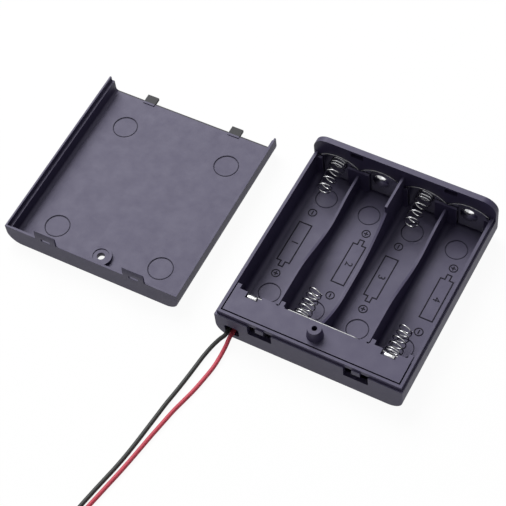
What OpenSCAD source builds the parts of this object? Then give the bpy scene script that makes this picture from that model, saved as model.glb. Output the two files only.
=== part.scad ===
// Closed-box holder for four AA cells in series, with its cover taken off.
// The case stands on its underside; the cover lies beside it, inside up.
// X runs along the wire end, Y away from it to the tall end wall, Z up.
// Millimetres. The origin is the centre of the underside of the case.

/* [Cells] */
// Distance from one bay's centre to the next
cell_pitch = 15.4; // [15:0.1:17]
// Thickness of the dividers between the bays
divider_t = 0.8; // [0.6:0.1:1.2]
// Radius of the hollows along the bay floors
cradle_r = 2; // [1:0.5:5]
// Clear length between the bulkhead and the tall end wall
bay_len = 57.5; // [57:0.5:62]

/* [Case] */
// Wall thickness of the case and of the cover's skirts
wall = 1.6; // [1.4:0.1:2.2]
// Thickness of the tall end wall
end_wall_t = 2; // [1.8:0.1:3]
// Thickness of the case floor
floor_t = 1.8; // [1.6:0.1:3]
// Height of the side walls, up to the parting line
wall_h = 10.4; // [9:0.1:12]
// Full height with the cover on
box_h = 18.7; // [18:0.1:21]
// Radius of the long outer edges
edge_r = 5; // [3:0.5:5]
// Height of the inner lip above the parting line
lip_h = 1.6; // [1:0.1:2]
// Width of the ledge outside the lip
ledge_w = 0.7; // [0.6:0.05:0.8]

/* [Wiring end] */
// Clear depth of the wiring space under the deck plate
wiring_depth = 7.5; // [7:0.5:9]
// Thickness of the bulkhead between bays and wiring space
bulkhead_t = 1.2; // [1:0.1:1.6]
// Thickness of the deck plate
deck_t = 1.2; // [1:0.1:1.6]
// Diameter of the screw boss at its foot
boss_d = 5.4; // [5:0.1:6]
// Height of the screw boss above the deck plate
boss_h = 4; // [3:0.1:4.2]
// Diameter of the pilot hole in the screw boss
pilot_d = 1.8; // [1.4:0.1:2.4]
// Width of the hole for the leads
lead_hole_w = 5; // [4.8:0.1:6]

/* [Latches] */
// Distance of each latch from the middle of the box
latch_x = 16.4; // [15:0.1:20]
// Width of each latch tongue
latch_w = 7.8; // [6:0.1:9]
// Length of each tongue past the parting line
latch_len = 3.7; // [3.2:0.1:3.8]
// Width of the slot in each tongue
slot_w = 3.4; // [3:0.1:4]

/* [Cover] */
// Thickness of the cover's plate
plate_t = 1.8; // [1.6:0.1:2]
// Place of the cover beside the case, along X
cover_x = -78.6; // [-120:0.1:-70]
// Place of the cover beside the case, along Y
cover_y = -0.2; // [-30:0.1:30]
// Turn of the cover on the table, in degrees
cover_turn = 0.4; // [-5:0.1:5]
// Diameter of the screw hole in the cover
screw_hole_d = 2.6; // [2.2:0.1:3]

/* [Contacts] */
// Thickness of the contact plates
contact_t = 0.3; // [0.2:0.05:0.4]
// Diameter of the spring wire
wire_d = 0.6; // [0.5:0.05:0.8]
// Mean radius of a spring's first coil, at its plate
spring_r0 = 2.9; // [2.6:0.1:3.4]
// Mean radius of a spring's last coil
spring_r1 = 2.2; // [1.8:0.1:2.5]
// Free length of the far springs
far_spring_len = 10.6; // [9:0.1:13]
// Free length of the near springs
near_spring_len = 10.8; // [9:0.1:12]

/* [Switch] */
// Place of the slide switch along X
switch_x = 12; // [8:0.5:16]
// Travel of the slide switch
switch_travel = 2.5; // [2:0.1:3]

/* [Leads] */
// Diameter of the leads over their insulation
lead_d = 1.6; // [1.4:0.1:1.8]

/* [Hidden] */

$fn = 48;
eps = 0.01;

// Fits
lip_gap = 0.1;
deck_gap = 0.45;
plate_gap = 0.1;
tab_gap = 0.15;
slide_gap = 0.1;
seat_gap = 0.05;

// Colours
moulding = [0.17, 0.16, 0.20];
nickel = [0.80, 0.80, 0.78];

// Box
box_w = 4 * cell_pitch - divider_t + 2 * wall;
box_l = wall + wiring_depth + bulkhead_t + bay_len + end_wall_t;
inner_x = box_w / 2 - wall;
near_y = -box_l / 2;
far_y = box_l / 2;
near_in_y = near_y + wall;
bulkhead_y = near_in_y + wiring_depth;
bay_near_y = bulkhead_y + bulkhead_t;
bay_far_y = far_y - end_wall_t;
lip_top = wall_h + lip_h;
deck_z = lip_top - deck_t;
axis_z = floor_t + 7.25;
bays = [-1.5, -0.5, 0.5, 1.5];

// Bay details
ejector_r = 4;
ejector_depth = 0.12;
ejector_far_y = bay_far_y - 9.6;
ejector_near_y = bay_near_y + 8.2;
rib_t = 0.9;
rib_gap = 0.2;
rib_h = 10.9;
rib_w = 7.4;
middle_rib_w = 4;
side_rib_w = 2.1;
rib_y = bay_far_y - plate_gap - contact_t - rib_gap - rib_t;

// Scooped top edges of the outer dividers
scoop_far_z = 8.9;
scoop_low_z = 7.2;
scoop_far_y = 26;
scoop_low_y = 12;
scoop_near_y = -12;
divider_end_y = bay_near_y + 0.35;

// Middle divider: its tall end, the step, and the hollow between two curves
middle_top = 15.5;
middle_step_y = 20.2;
middle_step_z = 12.4;
middle_low_z = 6.8;
middle_low_far_y = -3;
middle_low_near_y = -10;

// Far edge of the deck plate, flush with the near plates, and its prongs
deck_far_y = bay_near_y + plate_gap + contact_t;
prong_w = 1.4;
prong_len = 1.6;
notch_gap = 0.35;

// Latch windows, in the case's frame
latch_gap = 0.25;
window_low = wall_h - latch_len - 0.3;
catch_w = 2.8;
catch_low = 8.9;
catch_top = 10.9;
catch_out = 0.55;

// Cover, in its own frame: outer face down
cover_h = box_h - wall_h;
cover_ledge_z = cover_h - lip_h - lip_gap;
cover_skin = ledge_w - lip_gap;
cover_l = box_l - end_wall_t - plate_gap;
cover_inner_r = edge_r - wall;
boss_y = near_in_y + 4.3;
screw_y = boss_y - near_y - cover_l / 2;
ring_r = 3.7;
ring_h = 0.8;
tab_w = 4.2;
tab_out = 1.5;
tab_in = 1.2;
tab_low = 1;
tab_top = 2.7;
cover_ejector_x = 19.5;
cover_ejector_far = 21;
cover_ejector_near = -23.4;

// Contacts
far_plate_y = bay_far_y - plate_gap - contact_t;
near_plate_y = bay_near_y + plate_gap;
arch_r = 10;
arch_z = axis_z + 4.55 - arch_r;
plate_low = floor_t + 0.7;
plate_edge = 0.6;
far_dome_r = 3;
far_dome_h = 1.2;
near_dome_r = 1.6;
near_dome_h = 0.8;
cradle_near_y = near_plate_y + contact_t + plate_gap;
cradle_far_y = far_plate_y - plate_gap;
near_plate_w = 10;
corner_r = 1.5;
double_w = 25;
double_top = lip_top - 0.3;

// Solder tags of contacts 1 and 4: hooks bent over the top of the bulkhead
tag_w = 3.2;
tag_1_off = -0.75;
tag_4_off = 0.05;
hook_r = bulkhead_t / 2 + plate_gap + contact_t;
hook_y = bay_near_y - bulkhead_t / 2;
hook_z = lip_top - 0.6 - hook_r;
hook_end_z = 8.2;
near_plate_top = deck_z - plate_gap;
tag_notch_w = 5.2;

// Springs: close coils at the plate, then open ones, and a flat last part
far_turns = 5;
near_turns = 6;
base_turns = 1.4;
base_pitch = 1.5 * wire_d;
flat_part = 0.6;
steps = 14;
wire_sides = 6;

// Slide switch
switch_y = (near_in_y + bulkhead_y) / 2;
shell_t = 0.35;
carriage_w = 5;
carriage_d = 3.1;
shell_w = carriage_w + switch_travel + 2 * shell_t + 0.4;
shell_d = carriage_d + 2 * slide_gap + 2 * shell_t;
shell_top = 5.1;
board_t = 1;
board_z = shell_top - board_t;
carriage_z = floor_t + shell_t + seat_gap;
carriage_top = 3.4;
lever_w = 1.6;
lever_d = 1.4;
lever_low = 0.35;
lever_way = (lever_w + switch_travel) / 2 + slide_gap;
lever_slot_w = lever_w + switch_travel + 0.7;
recess_w = 11;
recess_d = 5.6;
recess_t = 0.9;
terminal_pitch = 2.5;
terminal_w = 0.4;
terminal_d = 1.4;
terminal_low = 3.9;
terminal_top = 7.6;
wiper_t = 0.15;
wiper_w = 4.2;
wiper_d = 1.6;
wiper_bump_r = 0.22;

// Leads: where they pass the wall, and how they lie on the table.
// Their routes are given from the outer face of the near wall.
lead_x = -box_w / 2 + 5.6;
lead_z = floor_t + 0.9;
lead_hole_h = 4.2;
lead_hole_r = 0.9;
lead_sides = 8;
lead_r = lead_d / 2;
red_exit = [lead_x + 0.1, 0, lead_z];
black_exit = [lead_x - 1.6, 0, lead_z];
red_route = [
    red_exit, red_exit + [0, -2, 0], [-26.2, -4.6, 1.9], [-26.3, -8.1, 1], [-26.5, -12.6, lead_r],
    [-27.2, -17.6, lead_r], [-28, -22.1, lead_r], [-29.1, -26.6, lead_r], [-30.2, -31.1, lead_r],
    [-31.1, -36.1, lead_r], [-32, -41.1, lead_r], [-32.8, -46.1, lead_r], [-33.6, -51.1, lead_r],
    [-34.5, -56.1, lead_r], [-35.5, -61.1, lead_r], [-36.5, -66.1, lead_r], [-37.5, -71.1, lead_r],
    [-38.5, -77.1, lead_r], [-39.2, -83.1, lead_r], [-39.7, -89.1, lead_r], [-39.9, -95.1, lead_r],
    [-39.3, -99.1, lead_r], [-36.7, -102.1, lead_r], [-33.1, -102.1, lead_r], [-30.5, -99.1, lead_r],
    [-29.9, -95.1, lead_r], [-29.7, -89.1, lead_r], [-29.4, -83.1, lead_r], [-29.1, -77.7, lead_r]];
black_route = [
    black_exit, black_exit + [0, -1.6, 0], [-29.1, -3.5, 2.1], [-30.3, -6.3, 1.2], [-31.1, -9.7, lead_r],
    [-31.6, -14.6, lead_r], [-32.1, -19.6, lead_r], [-32.7, -24.6, lead_r], [-33.4, -29.6, lead_r],
    [-33.9, -34.6, lead_r], [-34.4, -39.6, lead_r], [-34.9, -44.6, lead_r], [-35.5, -49.6, lead_r],
    [-36.3, -54.6, lead_r], [-37.3, -59.6, lead_r], [-38.3, -64.6, lead_r], [-39.4, -70.6, lead_r],
    [-40.3, -77.1, lead_r], [-41, -83.1, lead_r], [-41.5, -89.1, lead_r], [-41.7, -95.1, lead_r],
    [-40.9, -100.1, lead_r], [-37.4, -103.9, lead_r], [-32.4, -103.9, lead_r], [-28.9, -100.1, lead_r],
    [-28.1, -95.1, lead_r], [-27.9, -89.1, lead_r], [-27.7, -84.1, lead_r]];
tip_d = 1;
tip_len = 4;

// Leads inside the wiring space: its floor, its rear and the way up to the tags
run_y = wall + wiring_depth - lead_r - 0.4;
tag_1_x = -1.5 * cell_pitch + tag_1_off;
tag_4_x = 1.5 * cell_pitch + tag_4_off;
joint_y = wall + wiring_depth - plate_gap - contact_t - seat_gap - lead_r;
joint_z = hook_end_z + 1.4;
switch_at = wall + wiring_depth / 2;
terminal_1_x = switch_x - terminal_pitch - terminal_w / 2 - lead_r - seat_gap;
terminal_2_y = switch_at + terminal_d / 2 + lead_r + seat_gap;
red_inside = [
    red_exit, [red_exit[0], wall + 0.6, lead_z], [red_exit[0] + 0.4, wall + 2.3, lead_z + 1.1],
    [red_exit[0] + 1, wall + 3.7, lead_z + 2.9], [tag_1_x - 0.3, joint_y - 0.2, joint_z - 2.3],
    [tag_1_x, joint_y, joint_z]];
black_inside = [
    black_exit, [black_exit[0], wall + 1, lead_z], [black_exit[0] + 1, wall + 3.5, lead_z],
    [black_exit[0] + 3.8, run_y - 0.4, lead_z], [black_exit[0] + 8, run_y, lead_z],
    [-14, run_y, lead_z], [-8, run_y, lead_z], [-2, run_y, lead_z],
    [terminal_1_x - 4.8, run_y - 0.6, lead_z + 1.3], [terminal_1_x - 2, switch_at + 0.8, lead_z + 3.5],
    [terminal_1_x, switch_at, terminal_top - 0.2]];
jumper_route = [
    [switch_x - 0.4, terminal_2_y, terminal_top - 0.6],
    [switch_x + 2.4, terminal_2_y + 0.3, terminal_top - 0.3],
    [switch_x + 5.2, terminal_2_y + 0.2, joint_z - 2.5], [tag_4_x - 2.4, joint_y - 0.4, joint_z - 3],
    [tag_4_x - 0.5, joint_y - 0.1, joint_z - 2.1], [tag_4_x, joint_y, joint_z]];

// ---- helpers ----

// Rectangle with round corners, centred on X, standing on the X axis
module round_rect(w, h, r) {
    translate([-w / 2 + r, 0]) square([w - 2 * r, h]);
    translate([-w / 2, r]) square([w, h - 2 * r]);
    for (x = [-w / 2 + r, w / 2 - r], z = [r, h - r])
        translate([x, z]) circle(r);
}

// Draws a profile given in X and Z, from y0 to y1
module along_y(y0, y1) {
    translate([0, y1, 0]) rotate([90, 0, 0]) linear_extrude(y1 - y0) children();
}

// Block given by its low and high corners
module block(low, high) {
    translate(low) cube(high - low);
}

// Cylinder along Y
module rod_y(x, y0, y1, z, r) {
    translate([x, y1, z]) rotate([90, 0, 0]) cylinder(r = r, h = y1 - y0);
}

function unit(v) = v / norm(v);

function heading(p, i) = unit(p[min(i + 1, len(p) - 1)] - p[max(i - 1, 0)]);

function ring(p, dir, up, r, sides) =
    let (side = unit(cross(dir, up)), top = cross(side, dir))
    [for (k = [0 : sides - 1]) p + r * (cos(360 * k / sides) * side + sin(360 * k / sides) * top)];

// Closed tube through a list of rings
module swept(rings) {
    sides = len(rings[0]);
    last = len(rings) - 1;
    polyhedron(
        points = [for (r = rings) each r],
        faces = concat(
            [[for (k = [0 : sides - 1]) k]],
            [for (i = [0 : last - 1], k = [0 : sides - 1])
                [i * sides + k, (i + 1) * sides + k, (i + 1) * sides + (k + 1) % sides]],
            [for (i = [0 : last - 1], k = [0 : sides - 1])
                [i * sides + k, (i + 1) * sides + (k + 1) % sides, i * sides + (k + 1) % sides]],
            [[for (k = [sides - 1 : -1 : 0]) last * sides + k]]));
}

// Tube along a route given from the outer face of the near wall
module lead_tube(p, r = lead_r) {
    translate([0, near_y, 0]) swept([for (i = [0 : len(p) - 1])
        ring(p[i], heading(p, i), [0, 0, 1], r, lead_sides)]);
}

// Smooth step from 0 to 1
function ease(t) = let (c = max(0, min(1, t))) c * c * (3 - 2 * c);

// Height of an outer divider's scooped top edge
function scoop_z(y) =
    y > scoop_low_y
        ? scoop_low_z + (scoop_far_z - scoop_low_z) * ease((y - scoop_low_y) / (scoop_far_y - scoop_low_y))
        : scoop_low_z + (lip_top - scoop_low_z) * ease((scoop_low_y - y) / (scoop_low_y - scoop_near_y));

// Height of the middle divider's hollow: a parabola on each side of its low part
function hollow_z(y) =
    let (far_part = max(0, y - middle_low_far_y) / (middle_step_y - middle_low_far_y),
         near_part = max(0, middle_low_near_y - y) / (middle_low_near_y - bay_near_y))
    middle_low_z + (middle_step_z - middle_low_z) * far_part * far_part
        + (lip_top - middle_low_z) * near_part * near_part;

// ---- case ----

// Upright wall at x under a top edge given as points in Y and Z
module divider(x, edge) {
    last = edge[len(edge) - 1];
    translate([x - divider_t / 2, 0, 0]) rotate([90, 0, 90]) linear_extrude(divider_t)
        polygon(concat(edge, [[last[0], floor_t - 0.5], [edge[0][0], floor_t - 0.5]]));
}

// Outer divider with its finger scoop; under the deck plate it joins the bulkhead
module outer_divider(x) {
    reach = rib_y + 0.2 - divider_end_y;
    divider(x, [for (i = [0 : 32]) let (y = divider_end_y + reach * i / 32) [y, scoop_z(y)]]);
    block([x - divider_t / 2, bulkhead_y + 0.2, floor_t - 0.5],
          [x + divider_t / 2, divider_end_y + 0.5, deck_z - 0.3]);
}

// Middle divider: tall at the far end, with a step down to the hollow edge
module middle_divider() {
    start = bay_near_y + contact_t + 2 * plate_gap;
    reach = middle_step_y - start;
    divider(0, [for (i = [0 : 24]) let (y = start + reach * i / 24) [y, hollow_z(y)]]);
    block([-divider_t / 2, middle_step_y - eps, floor_t - 0.5], [divider_t / 2, bay_far_y + 0.5, middle_top]);
}

// Hollow floor of one bay
module cradle(x) {
    w = cell_pitch;
    difference() {
        block([x - w / 2, cradle_near_y, floor_t - 0.3],
              [x + w / 2, cradle_far_y, floor_t + cradle_r]);
        translate([x, 0, floor_t]) along_y(bay_near_y - 1, bay_far_y + 1)
            round_rect(w - divider_t, box_h, cradle_r);
    }
}

// Rib across the far end of a divider, which holds the far contacts
module end_rib(x, w) {
    block([x - w / 2, rib_y, floor_t - 0.5], [x + w / 2, rib_y + rib_t, rib_h]);
}

// Shell of the case: floor, side walls, near wall, tall end wall and lip
module case_shell() {
    difference() {
        along_y(near_y, far_y) round_rect(box_w, box_h, edge_r);
        block([-box_w, near_y - 1, wall_h], [box_w, bay_far_y, box_h + 1]);
        block([-inner_x, near_in_y, floor_t], [inner_x, bay_far_y, box_h]);
    }
    difference() {
        block([-box_w / 2 + ledge_w, near_y + ledge_w, wall_h - 0.6],
              [box_w / 2 - ledge_w, bay_far_y + 0.2, lip_top]);
        block([-inner_x, near_in_y, 0], [inner_x, bay_far_y + 1, lip_top + 1]);
    }
}

// Window in the near wall for one latch tongue, under the lip
module latch_window(x) {
    w = latch_w + 2 * latch_gap;
    block([x - w / 2, near_y - 1, window_low], [x + w / 2, near_y + wall + 0.5, wall_h]);
}

// Catch that the slot of a latch tongue snaps over
module latch_catch(x) {
    block([x - catch_w / 2, near_y + ledge_w - catch_out, catch_low],
          [x + catch_w / 2, near_in_y, catch_top]);
}

// Pocket in the tall end wall for one tab of the cover
module tab_slot(x) {
    w = tab_w + 2 * tab_gap;
    block([x - w / 2, bay_far_y - 1, box_h - tab_top - tab_gap],
          [x + w / 2, bay_far_y + tab_out, box_h - tab_low + tab_gap]);
}

module case() {
    color(moulding) difference() {
        union() {
            case_shell();
            for (b = bays) cradle(b * cell_pitch);
            for (x = [-cell_pitch, cell_pitch]) {
                outer_divider(x);
                end_rib(x, rib_w);
            }
            middle_divider();
            end_rib(0, middle_rib_w);
            for (side = [-1, 1]) end_rib(side * (inner_x + 0.3 - side_rib_w / 2), side_rib_w);
            block([-inner_x - 0.2, bulkhead_y, floor_t - 0.3], [inner_x + 0.2, bay_near_y, deck_z]);
            for (x = [-inner_x + 1.4, -7, 7, inner_x - 1.4])
                block([x - 1.2, near_in_y - 0.2, floor_t - 0.3], [x + 1.2, near_in_y + 0.9, deck_z]);
        }
        for (x = [-latch_x, latch_x]) latch_window(x);
        for (x = [-latch_x, latch_x]) tab_slot(x);
        for (i = [0 : 3], y = [ejector_near_y, ejector_far_y])
            translate([bays[i] * cell_pitch, y, floor_t - ejector_depth]) cylinder(r = ejector_r, h = 0.6);
        for (x = [tag_1_x, tag_4_x])
            block([x - tag_w / 2 - 0.2, bulkhead_y - 1, hook_z - 0.1],
                  [x + tag_w / 2 + 0.2, bay_near_y + 1, deck_z + 1]);
        translate([lead_x, 0, floor_t]) along_y(near_y - 1, near_in_y + 1)
            round_rect(lead_hole_w, lead_hole_h, lead_hole_r);
        block([switch_x - recess_w / 2, switch_y - recess_d / 2, -1],
              [switch_x + recess_w / 2, switch_y + recess_d / 2, recess_t]);
        block([switch_x - lever_slot_w / 2, switch_y - lever_d / 2 - 0.3, 0],
              [switch_x + lever_slot_w / 2, switch_y + lever_d / 2 + 0.3, floor_t + 1]);
    }
    color(moulding) for (x = [-latch_x, latch_x]) latch_catch(x);
}

// ---- deck plate ----

// Cuts in the deck plate's far edge: round the dividers' ends, the tags and the double contact
module deck_cuts() {
    for (x = [-cell_pitch, cell_pitch]) {
        translate([x, deck_far_y + 0.2, deck_z - 1]) cylinder(r = divider_t / 2 + notch_gap, h = deck_t + 2);
        block([x - divider_t / 2 - notch_gap, deck_far_y + 0.2, deck_z - 1],
              [x + divider_t / 2 + notch_gap, deck_far_y + 3, lip_top + 1]);
    }
    for (b = [bays[0], bays[3]])
        block([b * cell_pitch - tag_notch_w / 2, hook_y - hook_r - 0.1, deck_z - 1],
              [b * cell_pitch + tag_notch_w / 2, deck_far_y + 1, lip_top + 1]);
    block([-double_w / 2 - 0.3, near_plate_y - 0.15, deck_z - 1],
          [double_w / 2 + 0.3, deck_far_y + 1, lip_top + 1]);
}

module deck_plate() {
    deck_near_y = near_in_y + deck_gap;
    deck_x = inner_x - deck_gap;
    color(moulding) difference() {
        union() {
            block([-deck_x, deck_near_y, deck_z], [deck_x, deck_far_y, lip_top]);
            for (x = [-deck_x + prong_w / 2, -cell_pitch + 1.45, cell_pitch + 1.45, deck_x - prong_w / 2])
                block([x - prong_w / 2, deck_far_y - eps, deck_z],
                      [x + prong_w / 2, deck_far_y + prong_len, lip_top]);
            translate([0, boss_y, lip_top - eps]) cylinder(d1 = boss_d, d2 = boss_d - 1, h = boss_h + eps);
        }
        deck_cuts();
        translate([0, boss_y, deck_z - 1]) cylinder(d = pilot_d, h = deck_t + boss_h + 2);
    }
}

// ---- cover ----

// Tongue that goes down into a latch window, with the slot for the catch
module latch_tongue(x) {
    difference() {
        block([x - latch_w / 2, -cover_l / 2, cover_h - 1],
              [x + latch_w / 2, -cover_l / 2 + cover_skin, cover_h + latch_len]);
        block([x - slot_w / 2, -cover_l / 2 - 1, cover_h],
              [x + slot_w / 2, -cover_l / 2 + 1, box_h - catch_low + 0.2]);
    }
}

module cover_shape() {
    difference() {
        union() {
            difference() {
                along_y(-cover_l / 2, cover_l / 2) round_rect(box_w, 2 * box_h, edge_r);
                block([-box_w, -cover_l, cover_h], [box_w, cover_l, 3 * box_h]);
                translate([0, 0, plate_t]) along_y(-cover_l / 2 + wall, cover_l)
                    round_rect(2 * inner_x, 2 * box_h, cover_inner_r);
                block([-box_w / 2 + cover_skin, -cover_l / 2 + cover_skin, cover_ledge_z],
                      [box_w / 2 - cover_skin, cover_l, box_h]);
            }
            for (x = [-latch_x, latch_x]) latch_tongue(x);
            for (x = [-latch_x, latch_x])
                block([x - tab_w / 2, cover_l / 2 - tab_in, tab_low],
                      [x + tab_w / 2, cover_l / 2 + tab_out, tab_top]);
            translate([0, screw_y, plate_t - eps]) cylinder(r = ring_r, h = ring_h + eps);
        }
        for (x = [-latch_x, latch_x])
            block([x - slot_w / 2, -cover_l / 2 - 1, box_h - catch_top - 0.2],
                  [x + slot_w / 2, -cover_l / 2 + cover_skin + 0.1, cover_h + eps]);
        translate([0, screw_y, -1]) cylinder(d = screw_hole_d, h = cover_h);
        translate([0, screw_y, plate_t + ring_h - 0.3]) cylinder(r = ring_r - 1, h = 1);
        translate([0, screw_y, -1]) cylinder(d = 5, h = 1.8);
        for (x = [-cover_ejector_x, cover_ejector_x], y = [cover_ejector_near, cover_ejector_far])
            translate([x, y, plate_t - ejector_depth]) cylinder(r = ejector_r, h = 0.6);
    }
}

module cover() {
    color(moulding) translate([cover_x, cover_y, 0]) rotate([0, 0, cover_turn]) cover_shape();
}

// ---- contacts ----

// Far plate over two bays: a spring seat at the left, a raised button at the right
module far_contact(left, right) {
    x0 = left * cell_pitch - cell_pitch / 2 + divider_t / 2 + plate_edge;
    x1 = right * cell_pitch + cell_pitch / 2 - divider_t / 2 - plate_edge;
    color(nickel) union() {
        along_y(far_plate_y, far_plate_y + contact_t) intersection() {
            union() for (b = [left, right]) translate([b * cell_pitch, arch_z]) circle(arch_r);
            translate([x0, plate_low]) square([x1 - x0, box_h]);
        }
        button(right * cell_pitch, far_plate_y, -1, far_dome_r, far_dome_h);
    }
}

// Domed button that stands off a plate's face at y, towards +Y or -Y
module button(x, y, way, r, h) {
    ball = (r * r + h * h) / (2 * h);
    translate([x, y, axis_z]) rotate([-90 * way, 0, 0]) intersection() {
        translate([0, 0, h - ball]) sphere(ball);
        translate([0, 0, -eps]) cylinder(r = r, h = h + 2 * eps);
    }
}

module near_button(x) {
    button(x, near_plate_y + contact_t, 1, near_dome_r, near_dome_h);
}

// Near plate with round upper corners, centred on x
module near_plate(x, w, top) {
    translate([x, 0, plate_low]) along_y(near_plate_y, near_plate_y + contact_t) intersection() {
        translate([0, -corner_r]) round_rect(w, top - plate_low + corner_r, corner_r);
        translate([-w / 2, 0]) square([w, top]);
    }
}

// Strip bent over the bulkhead: up from the plate, round, and down to its soldered end
module hook(x) {
    translate([x - tag_w / 2, hook_y, hook_z]) rotate([90, 0, 90]) linear_extrude(tag_w) {
        difference() {
            circle(hook_r);
            circle(hook_r - contact_t);
            translate([-hook_r - 1, -hook_r - 1]) square([2 * hook_r + 2, hook_r + 1]);
        }
        translate([hook_r - contact_t, near_plate_top - hook_z - 1])
            square([contact_t, hook_z - near_plate_top + 1 + eps]);
        translate([-hook_r, hook_end_z - hook_z]) square([contact_t, hook_z - hook_end_z + eps]);
    }
}

// Near plate over one bay, with its solder tag
module near_contact(bay, tag_x, domed) {
    x = bay * cell_pitch;
    color(nickel) union() {
        near_plate(x, near_plate_w, near_plate_top);
        hook(tag_x);
        if (domed) near_button(x);
    }
}

module near_contact_23() {
    color(nickel) union() {
        near_plate(0, double_w, double_top);
        near_button(cell_pitch / 2);
    }
}

// Conical spring along Y, wound from its plate at y0
function coil_rise(t, len, turns) =
    let (open = turns - base_turns - flat_part)
    min(t, base_turns) * base_pitch
        + max(0, min(open, t - base_turns)) * (len - base_turns * base_pitch) / open;

function coil_point(i, len, turns) =
    let (t = i / steps, r = spring_r0 + (spring_r1 - spring_r0) * t / turns)
    [r * cos(360 * t), coil_rise(t, len, turns), r * sin(360 * t)];

module spring(x, y0, len, turns, way) {
    centre_len = len - wire_d;
    p = [for (i = [0 : turns * steps]) coil_point(i, centre_len, turns)];
    color(nickel) translate([x, y0 + way * (wire_d / 2 + seat_gap), axis_z]) scale([1, way, 1])
        swept([for (i = [0 : len(p) - 1]) ring(p[i], heading(p, i), [0, 1, 0], wire_d / 2, wire_sides)]);
}

module far_spring(bay) {
    spring(bay * cell_pitch, far_plate_y, far_spring_len, far_turns, -1);
}

module near_spring(bay) {
    spring(bay * cell_pitch, near_plate_y + contact_t, near_spring_len, near_turns, 1);
}

// ---- slide switch ----

module switch_frame() {
    color(nickel) difference() {
        block([switch_x - shell_w / 2, switch_y - shell_d / 2, floor_t],
              [switch_x + shell_w / 2, switch_y + shell_d / 2, shell_top]);
        block([switch_x - shell_w / 2 + shell_t, switch_y - shell_d / 2 + shell_t, floor_t + shell_t],
              [switch_x + shell_w / 2 - shell_t, switch_y + shell_d / 2 - shell_t, shell_top + 1]);
        block([switch_x - lever_way, switch_y - lever_d / 2 - slide_gap, 0],
              [switch_x + lever_way, switch_y + lever_d / 2 + slide_gap, floor_t + 1]);
    }
}

module switch_base() {
    color([0.45, 0.28, 0.16]) difference() {
        block([switch_x - shell_w / 2 + shell_t, switch_y - shell_d / 2 + shell_t, board_z],
              [switch_x + shell_w / 2 - shell_t, switch_y + shell_d / 2 - shell_t, shell_top]);
        for (i = [-1, 0, 1]) terminal_shape(i);
    }
}

module terminal_shape(i) {
    x = switch_x + i * terminal_pitch;
    block([x - terminal_w / 2, switch_y - terminal_d / 2, terminal_low],
          [x + terminal_w / 2, switch_y + terminal_d / 2, terminal_top]);
}

module switch_terminal(i) {
    color(nickel) terminal_shape(i);
}

// Drawn at the off end of its travel
module switch_slider() {
    x = switch_x - switch_travel / 2;
    color([0.1, 0.1, 0.1]) union() {
        block([x - carriage_w / 2, switch_y - carriage_d / 2, carriage_z],
              [x + carriage_w / 2, switch_y + carriage_d / 2, carriage_top]);
        block([x - lever_w / 2, switch_y - lever_d / 2, lever_low],
              [x + lever_w / 2, switch_y + lever_d / 2, carriage_top]);
    }
}

module switch_wiper() {
    x = switch_x - switch_travel / 2;
    color(nickel) union() {
        block([x - wiper_w / 2, switch_y - wiper_d / 2, carriage_top],
              [x + wiper_w / 2, switch_y + wiper_d / 2, carriage_top + wiper_t]);
        for (s = [-terminal_pitch / 2, terminal_pitch / 2])
            rod_y(x + s, switch_y - wiper_d / 2, switch_y + wiper_d / 2,
                  carriage_top + wiper_bump_r, wiper_bump_r);
    }
}

// ---- leads ----

module lead_tip(p) {
    n = len(p) - 1;
    d = heading(p, n);
    color([0.75, 0.75, 0.74]) lead_tube([p[n], p[n] + tip_len / 2 * d, p[n] + tip_len * d], tip_d / 2);
}

case();
deck_plate();
cover();
far_contact(-1.5, -0.5);  // far_contact_12
far_contact(0.5, 1.5);  // far_contact_34
near_contact(-1.5, tag_1_x, true);  // near_contact_1
near_contact_23();
near_contact(1.5, tag_4_x, false);  // near_contact_4
far_spring(-1.5);  // far_spring_1
near_spring(-0.5);  // near_spring_2
far_spring(0.5);  // far_spring_3
near_spring(1.5);  // near_spring_4
switch_frame();
switch_base();
switch_terminal(-1);  // switch_terminal_1
switch_terminal(0);  // switch_terminal_2
switch_terminal(1);  // switch_terminal_3
switch_slider();
switch_wiper();
color([0.78, 0.25, 0.3]) lead_tube(red_route);  // red_lead
color([0.16, 0.16, 0.16]) lead_tube(black_route);  // black_lead
color([0.78, 0.25, 0.3]) lead_tube(red_inside);  // red_lead_inside
color([0.16, 0.16, 0.16]) lead_tube(black_inside);  // black_lead_inside
color([0.16, 0.16, 0.16]) lead_tube(jumper_route);  // switch_jumper
lead_tip(red_route);  // red_lead_tip
lead_tip(black_route);  // black_lead_tip
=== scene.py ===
import math

import bpy
from mathutils import Matrix, Vector


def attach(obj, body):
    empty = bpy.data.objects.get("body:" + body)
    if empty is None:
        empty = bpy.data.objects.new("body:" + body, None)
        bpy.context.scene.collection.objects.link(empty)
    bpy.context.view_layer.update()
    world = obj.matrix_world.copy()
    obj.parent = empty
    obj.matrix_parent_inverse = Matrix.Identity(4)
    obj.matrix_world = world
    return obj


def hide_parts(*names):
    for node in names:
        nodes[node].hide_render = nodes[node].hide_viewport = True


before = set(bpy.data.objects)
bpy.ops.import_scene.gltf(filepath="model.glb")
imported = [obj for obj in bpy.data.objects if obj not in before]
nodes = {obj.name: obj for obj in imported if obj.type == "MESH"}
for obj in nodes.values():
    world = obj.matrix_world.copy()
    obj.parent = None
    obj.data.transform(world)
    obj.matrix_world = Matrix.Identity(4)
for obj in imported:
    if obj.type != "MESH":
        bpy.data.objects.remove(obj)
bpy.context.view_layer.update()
scene = bpy.context.scene
MM = 0.001

# ---- sizes shared with the solids, in millimetres ----

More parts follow.
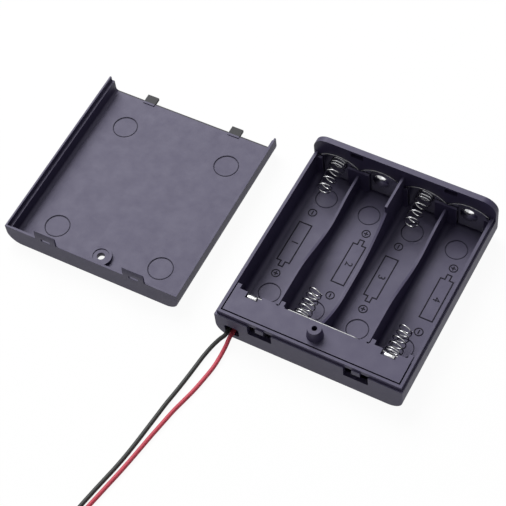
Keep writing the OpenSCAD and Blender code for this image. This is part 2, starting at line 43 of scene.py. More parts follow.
NEAR_Y = -34.9
CELL_PITCH = 15.4
BAYS = [-1.5, -0.5, 0.5, 1.5]  # each bay's middle, in pitches
FLOOR_Z = 1.8
EJECTOR_R = 4
EJECTOR_FAR_Y = 23.3
EJECTOR_NEAR_Y = -16.4
BAY_CIRCLES = [(bay * CELL_PITCH, y, FLOOR_Z) for bay in BAYS for y in (EJECTOR_NEAR_Y, EJECTOR_FAR_Y)]
COVER_X = -78.6
COVER_Y = -0.2
COVER_TURN = 0.4
COVER_HALF_LEN = 33.85
COVER_H = 8.3
COVER_PLATE = 1.8
COVER_INNER_X = 30.4
COVER_CORNER_R = 3.4
COVER_CIRCLES = [(x, y) for x in (-19.5, 19.5) for y in (-23.4, 21)]
LATCH_X = 16.4
TAB_TOP = 2.7
TAB_OUT = 1.5
SLOT_LOW = 7.6
SLOT_TOP = 10
SLOT_HALF_W = 1.7
TONGUE_TOP = 12
RING_R = 3.7
RING_Y = -27.95

# ---- camera: degrees, and millimetres for places, distance, lens and sensor ----

CAMERA_AZIMUTH = 35.053
CAMERA_ELEVATION = 56.772
CAMERA_ROLL = -8.112
CAMERA_DISTANCE = 531.402
CAMERA_TARGET = Vector((-32.52, -8.874, 8.0))
CAMERA_LENS = 119.67
CAMERA_SENSOR = 36
CAMERA_CLIP_M = (0.01, 50)


def view_back(azimuth, elevation):
    """The unit vector from the target back to the camera."""
    a, e = math.radians(azimuth), math.radians(elevation)
    return Vector((math.sin(a) * math.cos(e), -math.cos(a) * math.cos(e), math.sin(e)))


def add_camera():
    back = view_back(CAMERA_AZIMUTH, CAMERA_ELEVATION)
    level_right = back.cross(Vector((0, 0, -1))).normalized()
    level_up = back.cross(level_right)
    roll = math.radians(CAMERA_ROLL)
    right = level_right * math.cos(roll) + level_up * math.sin(roll)
    up = level_up * math.cos(roll) - level_right * math.sin(roll)
    turn = Matrix((right, up, back)).transposed()
    data = bpy.data.cameras.new("camera")
    data.lens = CAMERA_LENS
    data.sensor_width = CAMERA_SENSOR
    data.clip_start, data.clip_end = CAMERA_CLIP_M
    camera = bpy.data.objects.new("camera", data)
    camera.location = (CAMERA_TARGET + back * CAMERA_DISTANCE) * MM
    camera.rotation_euler = turn.to_euler()
    scene.collection.objects.link(camera)
    scene.camera = camera


add_camera()

# ---- materials ----

MOULDING_COLOUR = (0.022, 0.0175, 0.045)
MOULDING_SHEEN = (0.88, 0.86, 1, 1)
# painted shade: the raised marks and the ejector rings are the floor's own plastic, painted darker to stand
# in for the shade along them
MARK_SHADE_COLOUR = (0.006, 0.005, 0.012)
WITNESS_SHADE_COLOUR = (0.018, 0.0155, 0.032)
# painted shade on the cover's tabs and far-edge line, not a finish of their own
TAB_SHADE_COLOUR = (0.017, 0.017, 0.02)
SWITCH_COLOUR = (0.025, 0.025, 0.027)
BOARD_DARK = (0.17, 0.08, 0.035)
BOARD_LIGHT = (0.24, 0.12, 0.055)
NICKEL_COLOUR = (0.58, 0.58, 0.59)
# painted shade: the spring wire is painted darker than the contacts' nickel, standing in for the dark
# surroundings it reflects
WIRE_SHADE_COLOUR = (0.36, 0.36, 0.37)
TIN_COLOUR = (0.66, 0.66, 0.65)
RED_COLOUR = (0.5, 0.055, 0.085)
BLACK_COLOUR = (0.02, 0.022, 0.021)
GRAIN_ROUGHNESS = 0.6
FAR_EDGE_TONE = 0.42
# painted shade: the near contacts' cut edges are painted far darker than the far ones, to dim their
# highlights
NEAR_EDGE_SHADE_TONE = 0.16


class Finish:
    """A material under construction: its shader, its object coordinates and its links."""

    def __init__(self, name, colour, roughness, metallic=0.0):
        self.material = bpy.data.materials.new(name)
        self.material.use_nodes = True
        self.tree = self.material.node_tree
        self.shader = self.tree.nodes["Principled BSDF"]
        self.shader.inputs["Base Color"].default_value = (*colour, 1)
        self.shader.inputs["Roughness"].default_value = roughness
        self.shader.inputs["Metallic"].default_value = metallic
        self.coords = self.tree.nodes.new("ShaderNodeTexCoord").outputs["Object"]

    def add(self, kind, settings=None, **inputs):
        node = self.tree.nodes.new(kind)
        for key, value in (settings or {}).items():
            setattr(node, key, value)
        for key, value in inputs.items():
            socket = node.inputs[key.replace("_", " ")]
            if isinstance(value, bpy.types.NodeSocket):
                self.tree.links.new(value, socket)
            else:
                socket.default_value = value
        return node

    def grain(self, per_metre, detail):
        return self.add("ShaderNodeTexNoise", Vector=self.coords, Scale=per_metre,
                        Detail=detail, Roughness=GRAIN_ROUGHNESS).outputs["Fac"]

    def ramp(self, fac, between, first, last):
        node = self.add("ShaderNodeValToRGB", Fac=fac)
        ends = node.color_ramp.elements
        ends[0].position, ends[1].position = between
        ends[0].color, ends[1].color = first, last
        return node.outputs["Color"]

    def vary_colour(self, first, last, per_metre, detail, between):
        """Takes the base colour from the first to the last between two levels of the grain."""
        fac = self.grain(per_metre, detail)
        self.drive("Base Color", self.ramp(fac, between, (*first, 1), (*last, 1)))

    def vary_roughness(self, least, most, per_metre, detail, between):
        """Takes the roughness from its least to its most between two levels of the grain."""
        fac = self.grain(per_metre, detail)
        self.drive("Roughness", self.ramp(fac, between, grey(least), grey(most)))

    def specular(self, level):
        self.shader.inputs["Specular IOR Level"].default_value = level

    def bump(self, height, strength, distance):
        node = self.add("ShaderNodeBump", Height=height, Strength=strength, Distance=distance * MM)
        self.tree.links.new(node.outputs["Normal"], self.shader.inputs["Normal"])

    def drive(self, socket, value):
        self.tree.links.new(value, self.shader.inputs[socket])


def grey(value):
    return (value, value, value, 1)


def shaded(colour, factors):
    """The colour with its red, green and blue each multiplied by a factor."""
    return tuple(part * factor for part, factor in zip(colour, factors))


def moulded_plastic():
    """Black moulded plastic with a fine satin grain and slight flow marks."""
    f = Finish("moulded_plastic", MOULDING_COLOUR, roughness=0.5)
    darker = shaded(MOULDING_COLOUR, (0.975, 0.975, 0.97))
    lighter = shaded(MOULDING_COLOUR, (1.025, 1.025, 1.03))
    f.vary_colour(darker, lighter, per_metre=60, detail=3, between=(0.3, 0.75))
    f.specular(0.45)
    f.shader.inputs["Specular Tint"].default_value = MOULDING_SHEEN
    f.vary_roughness(0.5, 0.57, per_metre=260, detail=5, between=(0.3, 0.8))
    f.bump(f.grain(6500, detail=2), strength=0.25, distance=0.03)
    return f.material


def line_shade(name, colour, specular):
    """Painted shade on a thin raised line or mark: the same plastic as under it, painted darker and duller
    than the satin plastic to stand in for the shade along its edges.
    """
    f = Finish(name, colour, roughness=0.6)
    f.specular(specular)
    f.vary_roughness(0.55, 0.7, per_metre=700, detail=3, between=(0.3, 0.8))
    f.bump(f.grain(5200, detail=2), strength=0.2, distance=0.02)
    return f.material


def painted_shade_plastic():
    """Painted shade: the cover's thin tabs and a line along its far edge, painted darker and duller than
    the plastic round them to stand in for the shade they lie in.
    """
    f = Finish("tab_painted_shade", TAB_SHADE_COLOUR, roughness=0.6)
    f.specular(0.28)
    return f.material


def nickel_plate():
    """Bright nickel on sheet steel, lightly brushed, with dull patches."""
    f = Finish("nickel_plate", NICKEL_COLOUR, roughness=0.2, metallic=1.0)
    f.vary_roughness(0.08, 0.24, per_metre=900, detail=4, between=(0.35, 0.75))
    f.vary_colour(NICKEL_COLOUR, shaded(NICKEL_COLOUR, (0.8, 0.8, 0.8)), per_metre=420, detail=3,
                  between=(0.4, 0.8))
    f.bump(f.grain(3200, detail=2), strength=0.15, distance=0.02)
    return f.material


def sheared_edge(name, tone):
    """The cut edge of the nickelled strip, duller than its faces."""
    f = Finish(name, (tone, tone, tone * 1.02), roughness=0.5, metallic=1.0)
    f.vary_roughness(0.42, 0.6, per_metre=1500, detail=3, between=(0.35, 0.75))
    f.bump(f.grain(4200, detail=2), strength=0.2, distance=0.02)
    return f.material


def spring_wire():
    """Drawn steel wire with a bright nickel finish, its base colour painted darker than the contacts'
    nickel: painted reflection of dark surroundings.
    """
    f = Finish("spring_wire", WIRE_SHADE_COLOUR, roughness=0.16, metallic=1.0)
    f.vary_roughness(0.1, 0.26, per_metre=2500, detail=3, between=(0.35, 0.75))
    f.bump(f.grain(9000, detail=2), strength=0.12, distance=0.01)
    return f.material


def insulation(name, colour, roughness):
    """Soft extruded or moulded plastic, slightly uneven along its length."""
    f = Finish(name, colour, roughness)
    f.specular(0.3)
    f.vary_colour(shaded(colour, (0.92, 0.92, 0.92)), shaded(colour, (1.08, 1.08, 1.08)),
                  per_metre=350, detail=3, between=(0.35, 0.75))
    f.bump(f.grain(2600, detail=3), strength=0.25, distance=0.03)
    return f.material


def tinned_strands():
    """Twisted strands drowned in solder."""
    f = Finish("tinned_strands", TIN_COLOUR, roughness=0.3, metallic=1.0)
    wave = f.add("ShaderNodeTexWave", {"bands_direction": "DIAGONAL"}, Vector=f.coords, Scale=900.0,
                 Distortion=1.0).outputs["Fac"]
    f.bump(wave, strength=0.5, distance=0.06)
    return f.material


def switch_board():
    """Brown laminated paper board."""
    f = Finish("switch_board", BOARD_DARK, roughness=0.6)
    f.vary_colour(BOARD_DARK, BOARD_LIGHT, per_metre=700, detail=4, between=(0.35, 0.75))
    f.bump(f.grain(5000, detail=2), strength=0.3, distance=0.03)
    return f.material


plastic = moulded_plastic()
# painted shade for the cover's tabs and far edge
tab_painted_shade = painted_shade_plastic()
nickel = nickel_plate()
far_edge_metal = sheared_edge("far_sheared_edge", FAR_EDGE_TONE)
# painted shade on the near contacts' bright cut edges, on top of the duller sheared finish
near_edge_shaded_metal = sheared_edge("near_edge_painted_shade", NEAR_EDGE_SHADE_TONE)
wire = spring_wire()
red_skin = insulation("red_insulation", RED_COLOUR, roughness=0.5)
black_skin = insulation("black_insulation", BLACK_COLOUR, roughness=0.5)
tinned = tinned_strands()
board = switch_board()
# painted shade for the raised marks and the ejector rings
marks = line_shade("marks_painted_shade", MARK_SHADE_COLOUR, specular=0.12)
witness_painted_shade = line_shade("witness_shade", WITNESS_SHADE_COLOUR, specular=0.15)
switch_black = insulation("switch_plastic", SWITCH_COLOUR, roughness=0.45)


def set_material(mesh, material):
    mesh.materials.clear()
    mesh.materials.append(material)


def dress(node, material):
    """Gives a CAD node that keeps its own shape its finish."""
    set_material(nodes[node].data, material)


# ---- leads ----

LEAD_R = 0.7
LEAN = 6  # a handle is the way between the neighbouring points, divided by this
ON_TABLE = LEAD_R + 0.01
LEAD_STEPS = 6
LEAD_ROUNDING = 4
RED_EXIT = (-26.3, 0, 2.7)
BLACK_EXIT = (-28, 0, 2.7)
RED_ROUTE = [
    RED_EXIT, (-26.3, -2, 2.7), (-26.2, -4.6, 1.9), (-26.3, -8.1, 1), (-26.5, -12.6),
    (-27.2, -17.6), (-28, -22.1), (-29.1, -26.6), (-30.2, -31.1),
    (-31.1, -36.1), (-32, -41.1), (-32.8, -46.1), (-33.6, -51.1),
    (-34.5, -56.1), (-35.5, -61.1), (-36.5, -66.1), (-37.5, -71.1),
    (-38.5, -77.1), (-39.2, -83.1), (-39.7, -89.1), (-39.9, -95.1),
    (-39.3, -99.1), (-36.7, -102.1), (-33.1, -102.1), (-30.5, -99.1),
    (-29.9, -95.1), (-29.7, -89.1), (-29.4, -83.1), (-29.1, -77.7)]
BLACK_ROUTE = [
    BLACK_EXIT, (-28, -1.6, 2.7), (-29.1, -3.5, 2.1), (-30.3, -6.3, 1.2), (-31.1, -9.7),
    (-31.6, -14.6), (-32.1, -19.6), (-32.7, -24.6), (-33.4, -29.6),
    (-33.9, -34.6), (-34.4, -39.6), (-34.9, -44.6), (-35.5, -49.6),
    (-36.3, -54.6), (-37.3, -59.6), (-38.3, -64.6), (-39.4, -70.6),
    (-40.3, -77.1), (-41, -83.1), (-41.5, -89.1), (-41.7, -95.1),
    (-40.9, -100.1), (-37.4, -103.9), (-32.4, -103.9), (-28.9, -100.1),
    (-28.1, -95.1), (-27.9, -89.1), (-27.7, -84.1)]


def on_table(route):
    """The route's points in metres; a point with no height of its own lies on the table."""
    return [Vector((p[0], NEAR_Y + p[1], p[2] if len(p) > 2 else LEAD_R)) * MM for p in route]


def curve_length(lead):
    """Length of the lead's centre line, taken while the curve has no thickness."""
    line = bpy.data.meshes.new_from_object(lead)
    ends = [(line.vertices[a].co, line.vertices[b].co) for a, b in (edge.vertices for edge in line.edges)]
    length = sum((start - end).length for start, end in ends)
    bpy.data.meshes.remove(line)
    return length


def add_lead(name, route, skin):
    """A smooth round lead through the route's points; its handles never dip below the table."""
    points = on_table(route)
    curve = bpy.data.curves.new(name, "CURVE")
    curve.dimensions = "3D"
    curve.resolution_u = LEAD_STEPS
    spline = curve.splines.new("BEZIER")
    spline.bezier_points.add(len(points) - 1)
    for i, knot in enumerate(spline.bezier_points):
        before, after = points[max(i - 1, 0)], points[min(i + 1, len(points) - 1)]
        lean = (after - before) / LEAN
        if points[i].z < ON_TABLE * MM:
            lean.z = 0
        knot.handle_left_type = knot.handle_right_type = "FREE"
        knot.co = points[i]
        knot.handle_left = points[i] - lean
        knot.handle_right = points[i] + lean
    curve.materials.append(skin)
    lead = bpy.data.objects.new(name, curve)
    scene.collection.objects.link(lead)
    length = curve_length(lead)
    curve.bevel_depth = LEAD_R * MM
    curve.bevel_resolution = LEAD_ROUNDING
    curve.use_fill_caps = True
    return lead, points, length


def declare_lead(lead, node):
    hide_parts(node)
    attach(lead, "holder")


for name, route, skin, slot in [("red_lead", RED_ROUTE, red_skin, "red_insulation"),
                                ("black_lead", BLACK_ROUTE, black_skin, "black_insulation")]:
    lead, points, length = add_lead(name + "_skin", route, skin)
    dress(name + "_tip", tinned)
    dress(name + "_inside", skin)
    declare_lead(lead, name)
dress("switch_jumper", black_skin)

# ---- copies of the solids, worked on in Blender ----

MERGE_M = 2e-6
FLAT_DEG = 0.5
BEVEL_STEPS = 2
BEVEL_FROM_DEG = 40
SMOOTH_UNDER_DEG = 35


def deselect_all():
    if bpy.context.mode != "OBJECT":
        bpy.ops.object.mode_set(mode="OBJECT")
    bpy.ops.object.select_all(action="DESELECT")


def make_active(piece):
    deselect_all()
    piece.select_set(True)
    bpy.context.view_layer.objects.active = piece


def apply_modifier(piece, kind, **settings):
    make_active(piece)
    modifier = piece.modifiers.new(kind.lower(), kind)
    for key, value in settings.items():
        setattr(modifier, key, value)
    bpy.ops.object.modifier_apply(modifier=modifier.name)


def merged_copy(node, suffix):
    """A copy of a CAD node with its doubled points merged, left selected in edit mode."""
    piece = bpy.data.objects.new(node + suffix, nodes[node].data.copy())
    scene.collection.objects.link(piece)
    make_active(piece)
    bpy.ops.object.mode_set(mode="EDIT")
    bpy.ops.mesh.select_all(action="SELECT")
    bpy.ops.mesh.remove_doubles(threshold=MERGE_M)
    bpy.ops.mesh.customdata_custom_splitnormals_clear()
    return piece


def put_in_place(piece, node, material):
    """Shows the finished copy in the node's place."""
    set_material(piece.data, material)
    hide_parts(node)
    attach(piece, "holder")


def finished_copy(node, material, edge, reshape=None):
    """A copy of a CAD node with its sharp edges rounded, reshaped first where it has to be."""
    piece = merged_copy(node, "_finished")
    bpy.ops.mesh.dissolve_limited(angle_limit=math.radians(FLAT_DEG))
    bpy.ops.object.mode_set(mode="OBJECT")
    if reshape:
        reshape(piece)
    apply_modifier(piece, "BEVEL", width=edge * MM, segments=BEVEL_STEPS, use_clamp_overlap=True,
                   limit_method="ANGLE", angle_limit=math.radians(BEVEL_FROM_DEG), miter_outer="MITER_ARC")
    make_active(piece)
    bpy.ops.object.shade_smooth_by_angle(angle=math.radians(SMOOTH_UNDER_DEG))
    apply_modifier(piece, "WEIGHTED_NORMAL", mode="FACE_AREA", weight=50, keep_sharp=True)
    put_in_place(piece, node, material)
    return piece


# ---- mouldings: what their finish changes on the solids, in millimetres ----

CLOSE = 0.05  # how near a point has to lie to count as on a line or a circle
HAIR = 0.01  # what rounding can move a point by
CASE_EDGE = 0.15
DECK_EDGE = 0.1
COVER_EDGE = 0.1
CIRCLE_DEEP = 0.2  # a circle's rims lie this near the floor's height, at most
EJECTOR_FINISHED_R = 3.4
TAB_WITHIN_X = 2.2  # a tab's points lie this near its middle, at most
TAB_WITHIN_Y = 2  # and start this far inside the cover's far edge, at most
TAB_FACES_FROM = 0.3  # the middle of each of its faces lies further out than this
TAB_FURTHER = 1
TAB_LOWER = 0.6
TAB_ASIDE = 0.6
# the line of painted shade along the cover's far edge is this wide
FAR_LINE = 0.45
SLOT_WITHIN_Y = 0.9  # a slot's points lie this near the cover's near face, at most
SLOT_LOW_UP = 0.3
SLOT_TOP_DOWN = 0.9
LEAD_IN_FROM = 2  # the slope on a tongue's top starts this far above the skirt
LEAD_IN = 0.4
RING_UP = 0.4
CORNER_FINISHED_R = 1.1


def finish_case(piece):
    """Draws the rims of the ejector circles in to their finished radius."""
    shrink = EJECTOR_FINISHED_R / EJECTOR_R
    for vertex in piece.data.vertices:
        for x, y, z in BAY_CIRCLES:
            dx, dy = vertex.co.x / MM - x, vertex.co.y / MM - y
            if abs(math.hypot(dx, dy) - EJECTOR_R) < CLOSE and abs(vertex.co.z / MM - z) < CIRCLE_DEEP:
                vertex.co.x = (x + dx * shrink) * MM
                vertex.co.y = (y + dy * shrink) * MM


def cover_place(unit):
    """Where the cover lies beside the case, with its millimetres in the given unit."""
    spin = Matrix.Rotation(math.radians(COVER_TURN), 4, "Z")
    return Matrix.Translation((COVER_X * unit, COVER_Y * unit, 0)) @ spin


def sharpen_corner(x, z):
    """Draws a point of the rounded inner corner in to the tighter finished corner."""
    side = -1 if x < 0 else 1
    dx = abs(x) - (COVER_INNER_X - COVER_CORNER_R)
    dz = z - (COVER_PLATE + COVER_CORNER_R)
    if dx < -HAIR or dz > HAIR or abs(math.hypot(dx, dz) - COVER_CORNER_R) > CLOSE:
        return x, z
    tight = CORNER_FINISHED_R / COVER_CORNER_R
    return (side * (COVER_INNER_X - CORNER_FINISHED_R + dx * tight),
            COVER_PLATE + CORNER_FINISHED_R + dz * tight)


def split_across(place, facing):
    """Cuts a line into the whole mesh where a plane crosses it, in edit mode."""
    bpy.ops.mesh.select_all(action="SELECT")
    bpy.ops.mesh.bisect(plane_co=place, plane_no=facing)


def finished_cover_point(x, y, z):
    """Where a point of the cover, in the cover's own axes, goes on the finished one: longer
    thin tabs, narrower slots, lead-in slopes on the tongues and a taller screw ring."""
    new_x, new_y, new_z = x, y, z
    side = abs(abs(x) - LATCH_X)
    if y > COVER_HALF_LEN - TAB_WITHIN_Y and side < TAB_WITHIN_X:
        new_x -= TAB_ASIDE
        if abs(z - TAB_TOP) < CLOSE:
            new_z -= TAB_LOWER
    if y > COVER_HALF_LEN + TAB_OUT - CLOSE:
        new_y += TAB_FURTHER
    if y < -COVER_HALF_LEN + SLOT_WITHIN_Y and side < SLOT_HALF_W + CLOSE:
        if abs(z - SLOT_LOW) < CLOSE:
            new_z += SLOT_LOW_UP
        if abs(z - SLOT_TOP) < CLOSE:
            new_z -= SLOT_TOP_DOWN
    if abs(z - TONGUE_TOP) < CLOSE and y < -COVER_HALF_LEN + CLOSE:
        new_y += LEAD_IN
    if math.hypot(x, y - RING_Y) < RING_R + CLOSE and z > COVER_PLATE + CLOSE:
        new_z += RING_UP
    sharp_x, sharp_z = sharpen_corner(x, z)
    if (sharp_x, sharp_z) != (x, z):
        new_x, new_z = sharp_x, sharp_z
    return new_x, new_y, new_z


def finish_cover(piece):
    """Reshapes the cover's copy in the cover's own axes."""
    piece.data.transform(cover_place(MM).inverted())
    make_active(piece)
    bpy.ops.object.mode_set(mode="EDIT")
    split_across((0, 0, (COVER_H + LEAD_IN_FROM) * MM), (0, 0, 1))
    split_across((0, (COVER_HALF_LEN - FAR_LINE) * MM, 0), (0, 1, 0))
    bpy.ops.object.mode_set(mode="OBJECT")
    for vertex in piece.data.vertices:
        x, y, z = finished_cover_point(*(part / MM for part in vertex.co))
        vertex.co = Vector((x, y, z)) * MM
    piece.data.transform(cover_place(MM))


def paint_shade_on_far_edge(piece):
    """Paints shade on the cover's tabs and on a thin line along its far edge, with the darker, duller
    material.
    """
    piece.data.transform(cover_place(MM).inverted())
    piece.data.materials.append(tab_painted_shade)
    for face in piece.data.polygons:
        y, z = face.center.y / MM, face.center.z / MM
        on_tab = y > COVER_HALF_LEN + TAB_FACES_FROM
        on_line = y > COVER_HALF_LEN - FAR_LINE and z < COVER_PLATE + 2 * CLOSE
        if on_tab or on_line:
            face.material_index = 1
    piece.data.transform(cover_place(MM))


finished_copy("case", plastic, CASE_EDGE, reshape=finish_case)
finished_copy("deck_plate", plastic, DECK_EDGE)
cover = finished_copy("cover", plastic, COVER_EDGE, reshape=finish_cover)
# paints shade on the cover's tabs and along its far edge
paint_shade_on_far_edge(cover)

# ---- contacts and the switch ----

CONTACT_EDGE = 0.06
EDGE_FACING = 0.6
TAGGED = ("near_contact_1", "near_contact_4")
TAG_START_Y = -24.6


def dull_edges(piece, edge_metal, tagged):
    """Gives the cut edges of a contact strip, which face away from Y, the sheared finish; on the near
    contacts this finish is painted much darker as painted shade on their bright top edges.
    A strip with a solder tag keeps the tag bright."""
    piece.data.materials.append(edge_metal)
    for face in piece.data.polygons:
        if abs(face.normal.y) < EDGE_FACING and not (tagged and face.center.y < TAG_START_Y * MM):
            face.material_index = 1


for node in ["far_contact_12", "far_contact_34", "near_contact_1", "near_contact_23", "near_contact_4"]:
    contact = finished_copy(node, nickel, CONTACT_EDGE)
    dull_edges(contact, far_edge_metal if node.startswith("far") else near_edge_shaded_metal, node in TAGGED)

for node in ["switch_frame", "switch_terminal_1", "switch_terminal_2", "switch_terminal_3", "switch_wiper"]:
    dress(node, nickel)
dress("switch_base", board)
dress("switch_slider", switch_black)

# ---- round spring wire ----

WIRE_FAT = 0.055
QUADS_UNDER_DEG = 40
SQUARE_WITHIN_DEG = 60
WIRE_ROUNDS = 2


def round_wire(node):
    """The node's spring with its wire rounded, fattened first by what the rounding takes off."""
    piece = merged_copy(node, "_round")
    bpy.ops.mesh.tris_convert_to_quads(face_threshold=math.radians(QUADS_UNDER_DEG),
                                       shape_threshold=math.radians(SQUARE_WITHIN_DEG))
    bpy.ops.transform.shrink_fatten(value=-WIRE_FAT * MM)
    bpy.ops.object.mode_set(mode="OBJECT")
    apply_modifier(piece, "SUBSURF", levels=WIRE_ROUNDS, render_levels=WIRE_ROUNDS)
    make_active(piece)
    bpy.ops.object.shade_smooth()
    put_in_place(piece, node, wire)


for node in ["far_spring_1", "near_spring_2", "far_spring_3", "near_spring_4"]:
    round_wire(node)

# ---- raised marks: cell outlines, polarity signs, bay numbers and the ejector pins' rings ----

MARK_LINE = 0.4
MARK_UP = 0.12
MARK_SINK = 0.05
MARK_EDGE = 0.04
MARK_EDGE_FROM_DEG = 60
EJECTOR_LINE = 0.28
CELL_W = 4.8
CELL_LEN = 16.2
CELL_MID_Y = 3.8
NUB_W = 1.9
NUB_LEN = 2
SIGN_R = 1.5
SIGN_LINE = 0.36
SIGN_BAR = 1.5
SIGN_FAR_Y = 16.5
SIGN_NEAR_Y = -9.1
NUMBER_SIZE = 3.4
CELL_OFF = [-1.6, 2.3, -1.6, 2.1]  # how far each bay's marks lie from its middle in X
NUB_WAY = [-1, 1, -1, 1]  # which way along Y each cell's plus end points


def select_edges(piece, test):
    """Leaves only the edges whose ends both pass the test selected, in edit mode."""
    bpy.ops.mesh.select_mode(type="EDGE")
    bpy.ops.mesh.select_all(action="DESELECT")
    bpy.ops.object.mode_set(mode="OBJECT")
    mesh = piece.data
    for edge in mesh.edges:
        edge.select = all(test(mesh.vertices[v].co) for v in edge.vertices)
    bpy.ops.object.mode_set(mode="EDIT")


def thicken(piece):
    """Turns a flat mark at height 0 into a closed one, sunk a little into the floor."""
    apply_modifier(piece, "SOLIDIFY", thickness=(MARK_UP + MARK_SINK) * MM, offset=1)
    apply_modifier(piece, "BEVEL", width=MARK_EDGE * MM, segments=1, limit_method="ANGLE",
                   angle_limit=math.radians(MARK_EDGE_FROM_DEG))
    piece.data.transform(Matrix.Translation((0, 0, -MARK_SINK * MM)))


def flat_bar(width, length):
    bpy.ops.mesh.primitive_plane_add(size=1)
    piece = bpy.context.object
    piece.data.transform(Matrix.Diagonal((width * MM, length * MM, 1, 1)))
    return piece


def flat_ring(radius, line, sides):
    deselect_all()
    bpy.ops.mesh.primitive_circle_add(vertices=sides, radius=radius * MM, fill_type="NGON")
    ring = bpy.context.object
    bpy.ops.object.mode_set(mode="EDIT")
    bpy.ops.mesh.select_mode(type="FACE")
    bpy.ops.mesh.select_all(action="SELECT")
    bpy.ops.mesh.inset(thickness=line * MM)
    bpy.ops.mesh.delete(type="FACE")
    bpy.ops.object.mode_set(mode="OBJECT")
    return ring


def joined(pieces):
    deselect_all()
    for piece in pieces:
        piece.select_set(True)
    bpy.context.view_layer.objects.active = pieces[0]
    bpy.ops.object.join()
    return pieces[0]


def cell_outline():
    """Outline of a cell, with its nub at +Y, as one thin closed frame."""
    deselect_all()
    piece = flat_bar(CELL_W, CELL_LEN)
    make_active(piece)
    bpy.ops.object.mode_set(mode="EDIT")
    for side in (-0.5, 0.5):
        split_across((side * NUB_W * MM, 0, 0), (1, 0, 0))
    # the nub grows out of the middle stretch of the +Y end
    select_edges(piece, lambda p: p.y > 0.49 * CELL_LEN * MM and abs(p.x) < 0.51 * NUB_W * MM)
    bpy.ops.mesh.extrude_region_move(TRANSFORM_OT_translate={"value": (0, NUB_LEN * MM, 0)})
    bpy.ops.mesh.select_mode(type="FACE")
    bpy.ops.mesh.select_all(action="SELECT")
    bpy.ops.mesh.dissolve_faces()
    bpy.ops.mesh.inset(thickness=MARK_LINE * MM)
    bpy.ops.mesh.delete(type="FACE")
    bpy.ops.mesh.select_all(action="SELECT")
    bpy.ops.mesh.normals_make_consistent(inside=False)
    bpy.ops.object.mode_set(mode="OBJECT")
    thicken(piece)
    return piece


def polarity_sign(plus):
    """A ring with a bar along Y in it, and for plus the bar across it."""
    parts = [flat_ring(SIGN_R, SIGN_LINE, sides=48), flat_bar(MARK_LINE, SIGN_BAR)]
    if plus:
        arm = (SIGN_BAR - MARK_LINE) / 2
        for side in (-1, 1):
            half = flat_bar(arm, MARK_LINE)
            half.data.transform(Matrix.Translation((side * (arm + MARK_LINE) / 2 * MM, 0, 0)))
            parts.append(half)
    piece = joined(parts)
    thicken(piece)
    return piece


def witness_line(radius):
    """The thin ring that an ejector pin leaves round its circle."""
    ring = flat_ring(radius + EJECTOR_LINE, EJECTOR_LINE, sides=64)
    thicken(ring)
    return ring


def bay_number(digit):
    """A plain raised digit with its top towards +X."""
    deselect_all()
    bpy.ops.object.text_add()
    text = bpy.context.object
    text.data.body = digit
    text.data.size = NUMBER_SIZE * MM
    text.data.align_x = "CENTER"
    text.data.align_y = "CENTER"
    text.data.extrude = (MARK_UP + MARK_SINK) / 2 * MM
    bpy.ops.object.convert(target="MESH")
    piece = bpy.context.object
    piece.data.transform(Matrix.Rotation(math.radians(-90), 4, "Z"))
    piece.data.transform(Matrix.Translation((0, 0, (MARK_UP - MARK_SINK) / 2 * MM)))
    return piece


def place_mark(pattern, name, x, y, turn=0, z=FLOOR_Z, skin=marks):
    piece = bpy.data.objects.new(name, pattern.data.copy())
    scene.collection.objects.link(piece)
    piece.data.transform(Matrix.Rotation(turn, 4, "Z"))
    piece.data.transform(Matrix.Translation((x * MM, y * MM, z * MM)))
    set_material(piece.data, skin)
    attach(piece, "holder")


def add_bay_marks():
    outline, plus, minus = cell_outline(), polarity_sign(True), polarity_sign(False)
    for i, bay in enumerate(BAYS):
        x = bay * CELL_PITCH + CELL_OFF[i]
        turn, plus_y, minus_y = 0, SIGN_FAR_Y, SIGN_NEAR_Y
        if NUB_WAY[i] < 0:
            turn, plus_y, minus_y = math.pi, SIGN_NEAR_Y, SIGN_FAR_Y
        place_mark(outline, f"cell_outline_{i + 1}", x, CELL_MID_Y, turn)
        place_mark(plus, f"plus_sign_{i + 1}", x, plus_y)
        place_mark(minus, f"minus_sign_{i + 1}", x, minus_y)
        number = bay_number(str(i + 1))
        place_mark(number, f"bay_number_{i + 1}", x, CELL_MID_Y)
        bpy.data.objects.remove(number)
    for pattern in (outline, plus, minus):
        bpy.data.objects.remove(pattern)


def add_ejector_lines():
    bay_line = witness_line(EJECTOR_FINISHED_R)
    for i, (x, y, z) in enumerate(BAY_CIRCLES):
        place_mark(bay_line, f"ejector_line_{i + 1}", x, y, z=z, skin=witness_painted_shade)
    cover_line = witness_line(EJECTOR_R)
    for i, (x, y) in enumerate(COVER_CIRCLES):
        spot = cover_place(1) @ Vector((x, y, 0))
        place_mark(cover_line, f"cover_ejector_line_{i + 1}", spot.x, spot.y, z=COVER_PLATE, skin=witness_painted_shade)
    for pattern in (bay_line, cover_line):
        bpy.data.objects.remove(pattern)


add_bay_marks()
add_ejector_lines()

# ---- table, backdrop and light, in metres and watts ----

WHITE = (1, 1, 1, 1)
TABLE_SIZE = 6
TABLE_TOP = -0.00005
TABLE_GLOW = 0.95
ROOM_GLOW = 0.06
LAMP_AIM = (-0.03, 0, 0)


def seen_directly(tree):
    """1 where the camera or a reflection looks, and 0 for the light that falls on the object."""
    rays = tree.nodes.new("ShaderNodeLightPath")
    seen = tree.nodes.new("ShaderNodeMath")
    seen.operation = "MAXIMUM"
    tree.links.new(rays.outputs["Is Camera Ray"], seen.inputs[0])
    tree.links.new(rays.outputs["Is Glossy Ray"], seen.inputs[1])
    return seen.outputs[0]


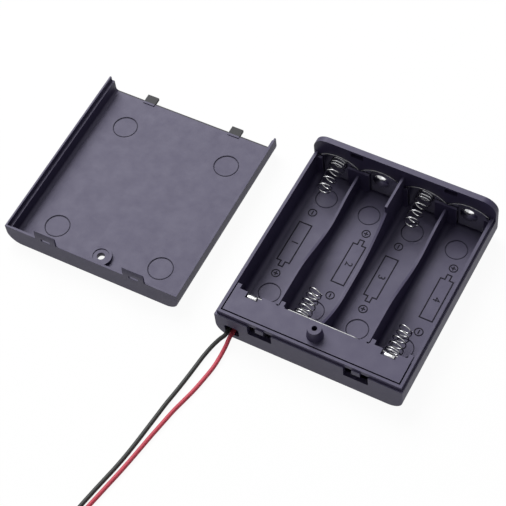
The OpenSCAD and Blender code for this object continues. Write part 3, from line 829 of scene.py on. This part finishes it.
def mix_shaders(tree, share, shade, white, output):
    """Blends from the shade to the white by the share, into the tree's output."""
    mix = tree.nodes.new("ShaderNodeMixShader")
    tree.links.new(share, mix.inputs[0])
    tree.links.new(shade, mix.inputs[1])
    tree.links.new(white, mix.inputs[2])
    tree.links.new(mix.outputs[0], tree.nodes[output].inputs["Surface"])


def white_table():
    """White table: shaded by the object, and white where the camera or a reflection sees it."""
    f = Finish("white_table", (0.9, 0.9, 0.9), roughness=0.9)
    glow = f.add("ShaderNodeEmission", Color=WHITE, Strength=1.0)
    part = f.add("ShaderNodeMath", {"operation": "MULTIPLY"})
    f.tree.links.new(seen_directly(f.tree), part.inputs[0])
    part.inputs[1].default_value = TABLE_GLOW
    mix_shaders(f.tree, part.outputs[0], f.shader.outputs[0], glow.outputs[0], "Material Output")
    return f.material


def add_table():
    deselect_all()
    bpy.ops.mesh.primitive_plane_add(size=TABLE_SIZE, location=(0, 0, TABLE_TOP))
    table = bpy.context.object
    table.name = "table"
    table.data.materials.append(white_table())


def add_lamp(name, place, width, depth, power):
    data = bpy.data.lights.new(name, "AREA")
    data.shape = "RECTANGLE"
    data.size, data.size_y = width, depth
    data.energy = power
    lamp = bpy.data.objects.new(name, data)
    lamp.location = place
    lamp.rotation_euler = (Vector(LAMP_AIM) - Vector(place)).to_track_quat("-Z", "Y").to_euler()
    scene.collection.objects.link(lamp)


def add_world():
    """A dim room for the light that falls on the object, white where it is looked at."""
    world = bpy.data.worlds.new("studio")
    scene.world = world
    world.use_nodes = True
    tree = world.node_tree
    shade = tree.nodes["Background"]
    shade.inputs["Color"].default_value = WHITE
    shade.inputs["Strength"].default_value = ROOM_GLOW
    white = tree.nodes.new("ShaderNodeBackground")
    white.inputs["Color"].default_value = WHITE
    white.inputs["Strength"].default_value = 1.0
    mix_shaders(tree, seen_directly(tree), shade.outputs[0], white.outputs[0], "World Output")


add_table()
add_lamp("overhead", (-0.9, 0.72, 1.45), width=1.3, depth=1.3, power=50)
add_lamp("front_fill", (0.25, -1.5, 0.5), width=1.0, depth=0.6, power=1.5)
add_world()
scene.view_settings.view_transform = "Standard"
